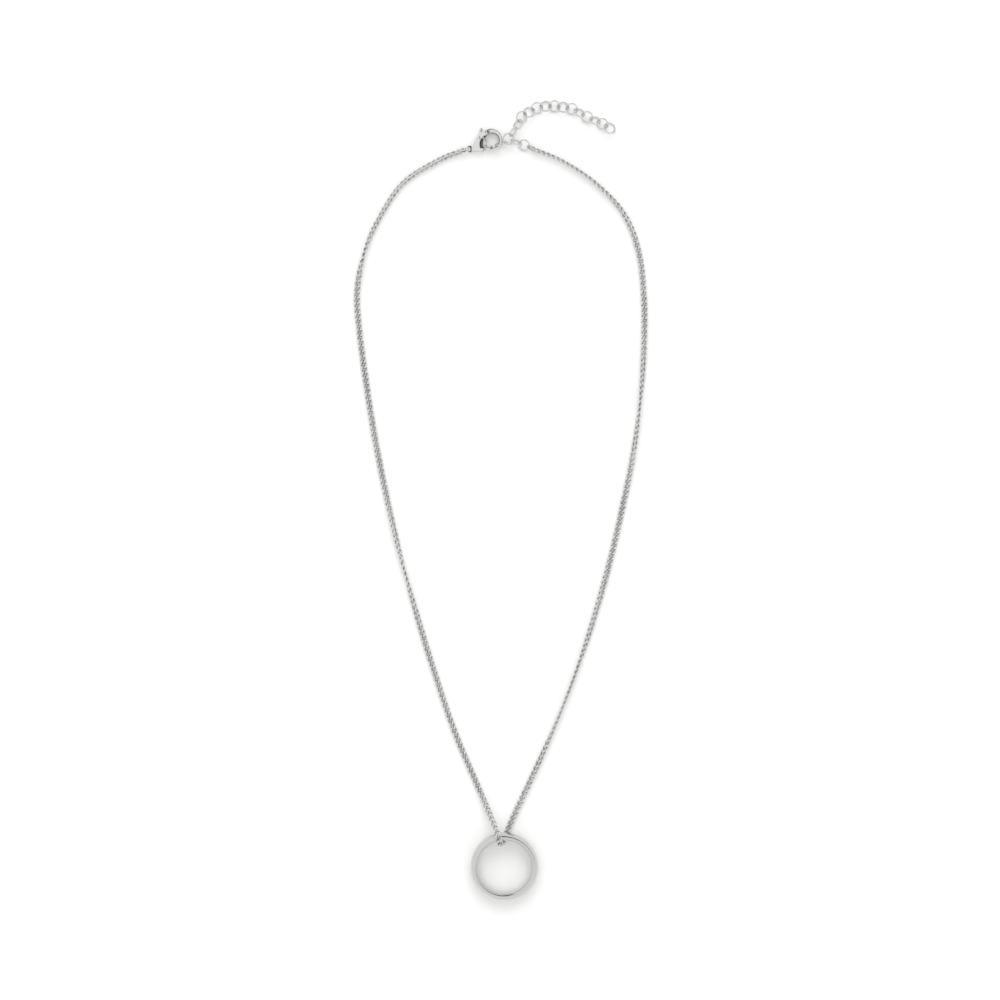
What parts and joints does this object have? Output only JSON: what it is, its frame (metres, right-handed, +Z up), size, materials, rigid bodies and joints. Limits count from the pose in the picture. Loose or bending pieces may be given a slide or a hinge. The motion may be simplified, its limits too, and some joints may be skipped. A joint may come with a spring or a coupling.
{
  "type": "ring pendant necklace",
  "caption": "Plain band ring worn as a pendant on a fine curb chain, with a claw clasp that has a sprung lever and an extender tail of round links, laid out flat.",
  "frame": {"origin": "On the surface that the piece lies on, in the middle of the whole piece seen from above.", "axes": "+X to the right of the laid-out piece, +Y from the ring towards the clasp, +Z up out of the surface."},
  "size_m": [0.0978, 0.2659, 0.0081],
  "materials": {
    "polished_metal": "polished silver-coloured metal with a soft grey reflection"
  },
  "bodies": {
    "necklace": {"ring_band": "polished_metal", "chain_left": "polished_metal", "chain_right": "polished_metal", "clasp_body": "polished_metal", "clasp_pin": "polished_metal", "hook_link": "polished_metal", "hub_link": "polished_metal", "end_link_1": "polished_metal", "end_link_2": "polished_metal", "tail_link_1": "polished_metal", "tail_link_2": "polished_metal", "tail_link_3": "polished_metal", "tail_link_4": "polished_metal", "tail_link_5": "polished_metal", "tail_link_6": "polished_metal", "tail_link_7": "polished_metal", "tail_link_8": "polished_metal", "tail_link_9": "polished_metal", "tail_link_10": "polished_metal", "tail_link_11": "polished_metal", "tail_link_12": "polished_metal", "tail_link_13": "polished_metal", "tail_link_14": "polished_metal"},
    "lever": {"clasp_lever": "polished_metal"}
  },
  "joints": [
    {"name": "lever_pivot", "type": "hinge", "parent": "necklace", "child": "lever", "pos_m": [-0.00711, 0.1203, 0.00122], "axis": [-0.061, 0, 0.9981], "range_deg": [0, 25], "stiffness_Nm_per_rad": 0.00002, "springref_deg": -11.46}
  ]
}
